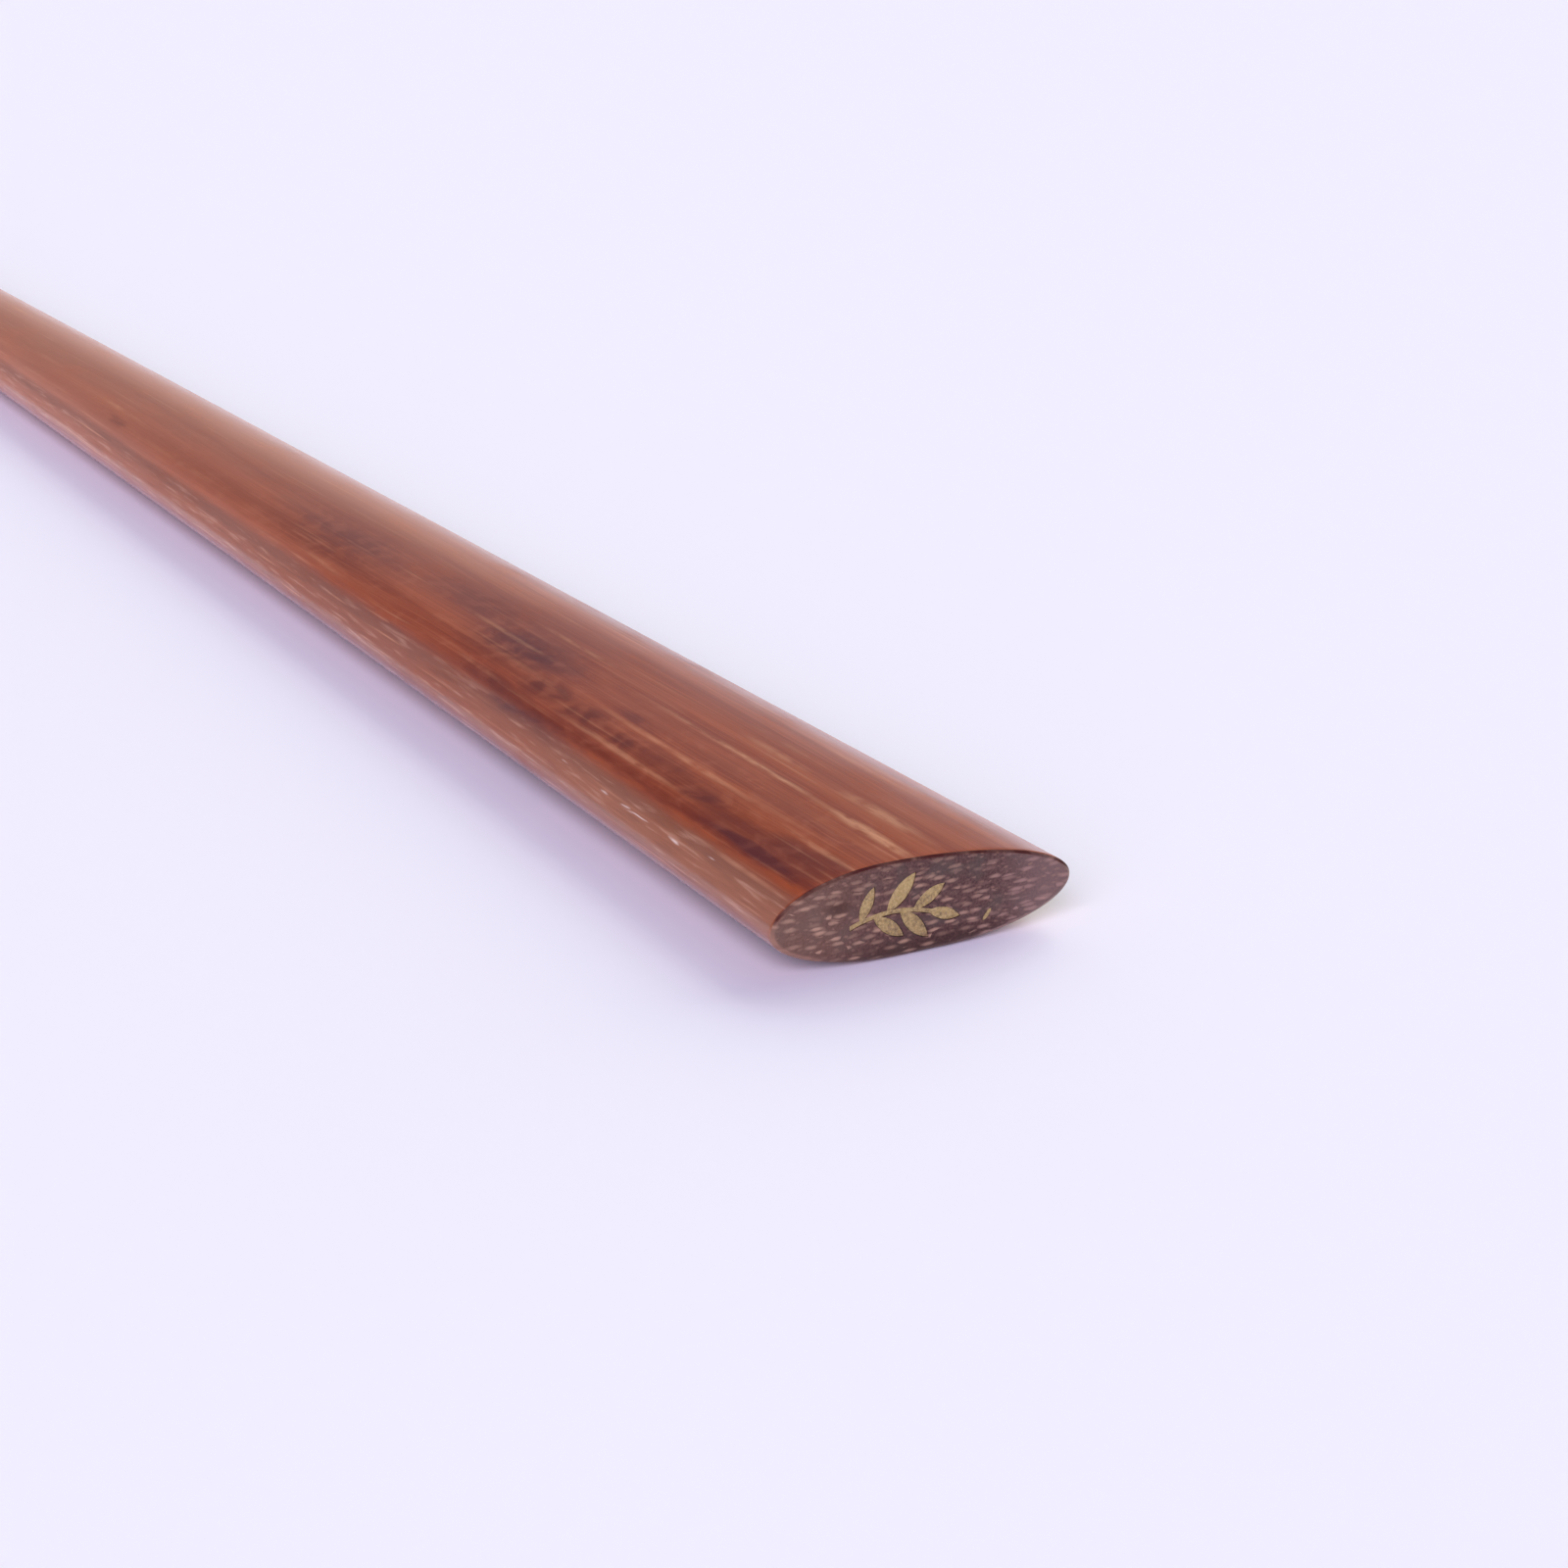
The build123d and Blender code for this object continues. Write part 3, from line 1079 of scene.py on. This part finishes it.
wood, tree, shader = new_finish("varnished_wood")
figure = place_group(tree, solid_wood)
wear = place_group(tree, handling_wear, Rubbing=0.6, Scratches=0.3)
rubbed = wear.outputs["Rubbed"]
varnish = times(tree, figure.outputs["Varnish"], mask(tree, rubbed, 1.4, 0.0))
surface = number(tree, "ADD", figure.outputs["Height"], wear.outputs["Height"])
relief = add(tree, "Bump", {"Height": surface, "Strength": 0.25, "Distance": 0.01 * mm})
tree.links.new(figure.outputs["Color"], shader.inputs["Base Color"])
tree.links.new(varnish, shader.inputs["Coat Weight"])
tree.links.new(between(tree, rubbed, 0.40, 0.55), shader.inputs["Roughness"])
tree.links.new(relief.outputs["Normal"], shader.inputs["Normal"])
shader.inputs["Specular IOR Level"].default_value = 0.15
shader.inputs["Coat Roughness"].default_value = 0.2
stick_mesh.materials.append(wood)
print("varnished wood:", len(tree.nodes), "nodes, two of them groups")

# %% [markdown]
# The sprig is hot foil: gold-coloured leaf pressed into the end grain with a heated die. It is only
# microns thick, so it takes the wood's grain with it and has lost specks where the pores lay. Where
# it is rubbed through, the same solid wood shows, in the same place as on the stick itself.

# %% Gold foil
dull_gold, bright_gold = paint(196, 168, 114), paint(220, 196, 146)

gold, tree, shader = new_finish("gold_foil")
figure = place_group(tree, solid_wood)
wear = place_group(tree, handling_wear, Rubbing=0.7, Scratches=0.5)
rubbed = wear.outputs["Rubbed"]
leaf = mix(tree, mask(tree, figure.outputs["Height"], 0.3, 0.7), dull_gold, bright_gold)
relief = add(tree, "Bump", {"Height": rubbed, "Strength": 0.4, "Distance": -0.01 * mm})
tree.links.new(mix(tree, rubbed, leaf, figure.outputs["Color"]), shader.inputs["Base Color"])
tree.links.new(mask(tree, rubbed, 1.6, 0.0), shader.inputs["Metallic"])
tree.links.new(relief.outputs["Normal"], shader.inputs["Normal"])
shader.inputs["Roughness"].default_value = 0.5
crumb_mesh.materials.append(gold)
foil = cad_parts["foil_sprig"]
foil.data.materials.clear()
foil.data.materials.append(gold)
print("gold foil:", len(tree.nodes), "nodes, two of them groups")

# %% [markdown]
# The stick lies on plain white paper that runs out of the picture on every side. One large flat plane
# does the same, and it looks right from all round. The paper is fully matt, so that it shows nothing
# but the soft shadows, and a little lilac, as white paper is in cool daylight.

# %% Floor
floor_reach = 10.0
paper_lilac = (0.825, 0.825, 0.96, 1)

floor_mesh = bpy.data.meshes.new("floor")
floor_corners = [(x * floor_reach, y * floor_reach, 0) for x, y in ((-1, -1), (1, -1), (1, 1), (-1, 1))]
floor_mesh.from_pydata(floor_corners, [], [(0, 1, 2, 3)])
floor = into_scene("floor", floor_mesh)
paper, _, shader = new_finish("paper")
shader.inputs["Base Color"].default_value = paper_lilac
shader.inputs["Roughness"].default_value = 1.0
shader.inputs["Specular IOR Level"].default_value = 0.0
floor_mesh.materials.append(paper)
print("floor, in m:", [round(size, 1) for size in floor.dimensions])

# %% [markdown]
# Varnish shows what is round it, so the stick needs a room: bright near the horizon, dim above, with
# one soft glow, as of a window, and one dark gap. A picture of a room would do, but a few soft masks
# are easier to shape. The camera itself sees plain white where the paper ends.

# %% The room that the varnish mirrors
horizon, overhead = (0.85, 0.62, 0.60, 1), (0.14, 0.13, 0.16, 1)
past_the_paper = (0.888, 0.871, 1.0, 1)
# Each row: azimuth, elevation, inner and outer edge, all in degrees, and colour
glow_and_gap = (
    (-46, 22, 12, 34, (0.44, 0.40, 0.44, 1)),
    (-18, 30, 5, 14, (0.03, 0.025, 0.03, 1)),
)


def direction(azimuth, elevation):
    """A direction from the stick: azimuth 0 is straight away from the camera, 90 to its right."""
    turn, rise = radians(azimuth), radians(elevation)
    return (away * cos(turn) + rightward * sin(turn)) * cos(rise) + Vector((0, 0, sin(rise)))


world = bpy.data.worlds.new("studio")
bpy.context.scene.world = world
world.use_nodes = True
tree = world.node_tree
toward = add(tree, "TexCoord", {}).outputs["Generated"]
room = mix(tree, mask(tree, parts(tree, toward)["Z"], 0.0, 0.2), horizon, overhead)
for azimuth, elevation, inner, outer, colour in glow_and_gap:
    closeness = vector(tree, "DOT_PRODUCT", toward, tuple(direction(azimuth, elevation)))
    room = mix(tree, mask(tree, closeness, cos(radians(outer)), cos(radians(inner))), room, colour)
seen = add(tree, "LightPath", {}).outputs["Is Camera Ray"]
tree.links.new(mix(tree, seen, room, past_the_paper), tree.nodes["Background"].inputs["Color"])
print("room:", len(tree.nodes), "nodes")

# %% [markdown]
# The shadows are soft and lie on both sides of the stick, so the light comes from two sides: from
# windows behind it and from a softbox behind the camera. Area lamps this close would light the paper
# unevenly, so three suns stand in for them, each as wide as a window looks from the table. They are
# hidden from glossy rays, because the varnish would mirror a wide sun as a disc with a hard edge. The
# Standard view shows each colour as it comes out, so that it can be compared with a photograph.

# %% Three soft lamps
# Each row: name, azimuth, elevation and width in degrees, strength, colour
soft_lamps = (
    ("window", 34, 27, 54, 2.15, (1.0, 1.09, 0.83)),
    ("far_window", 0, 22, 54, 1.0, (1.0, 1.09, 0.83)),
    ("softbox", 190, 27, 50, 3.3, (0.995, 0.88, 1.075)),
)
for name, azimuth, elevation, width, strength, colour in soft_lamps:
    light = bpy.data.lights.new(name, "SUN")
    light.angle = radians(width)
    light.energy = strength
    light.color = colour
    lamp = into_scene(name, light)
    lamp.visible_glossy = False
    lamp.rotation_euler = direction(azimuth, elevation).to_track_quat("Z", "Y").to_euler()
bpy.context.scene.view_settings.view_transform = "Standard"
print("lamps:", [lamp_row[0] for lamp_row in soft_lamps])
